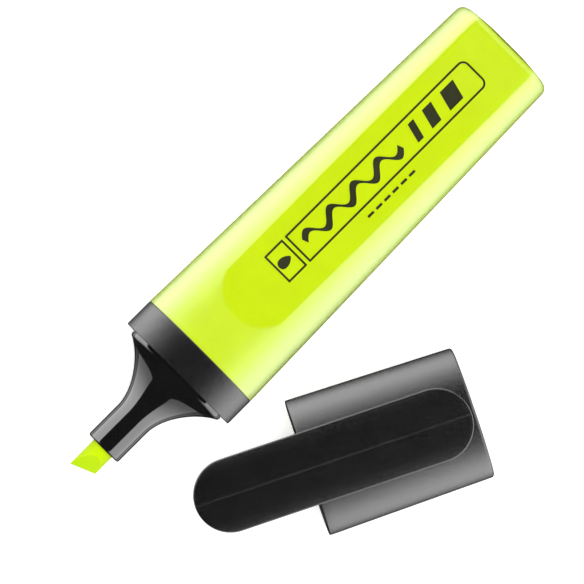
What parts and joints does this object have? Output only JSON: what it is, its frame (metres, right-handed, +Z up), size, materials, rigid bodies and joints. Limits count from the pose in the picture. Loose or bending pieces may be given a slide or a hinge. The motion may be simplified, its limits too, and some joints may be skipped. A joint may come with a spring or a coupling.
{
  "type": "highlighter",
  "caption": "Flat-bodied highlighter with a chisel nib on a flared black front; its cap, with a long flat pocket clip, lies beside it.",
  "frame": {"origin": "middle of the flat underside of the barrel, on the surface that the pen and the cap lie on", "axes": "+X along the pen from the nib to the barrel's rear end, +Y across the pen, away from the cap, +Z up out of the surface"},
  "size_m": [0.1156, 0.0698, 0.0176],
  "materials": {
    "barrel_plastic": "satin fluorescent yellow, polished on the flat panel",
    "satin_black": "satin black",
    "gloss_black": "polished black",
    "nib_fibre": "bonded fibre soaked with yellow ink",
    "core_fibre": "fibre soaked with yellow ink",
    "film": "thin clear film",
    "seal_plastic": "soft satin",
    "matte_black": "fine matte grain"
  },
  "bodies": {
    "pen": {"barrel": "barrel_plastic", "collar": "satin_black", "front_section": "gloss_black", "nib": "nib_fibre", "ink_reservoir": "core_fibre", "reservoir_wrap": "film"},
    "cap": {"cap_shell": "satin_black", "inner_cap": "seal_plastic"},
    "clip": {"pocket_clip": "matte_black"}
  },
  "joints": [
    {"name": "cap_swing", "type": "hinge", "parent": "pen", "child": "cap", "pos_m": [-0.05557, -0.01116, 0.0078], "axis": [0, 0, 1], "range_deg": [-153.6, 0]},
    {"name": "clip_flex", "type": "hinge", "parent": "cap", "child": "clip", "pos_m": [-0.01446, -0.04402, 0.0153], "axis": [0.4446, 0.8957, 0], "range_deg": [0, 4], "stiffness_Nm_per_rad": 0.3}
  ]
}
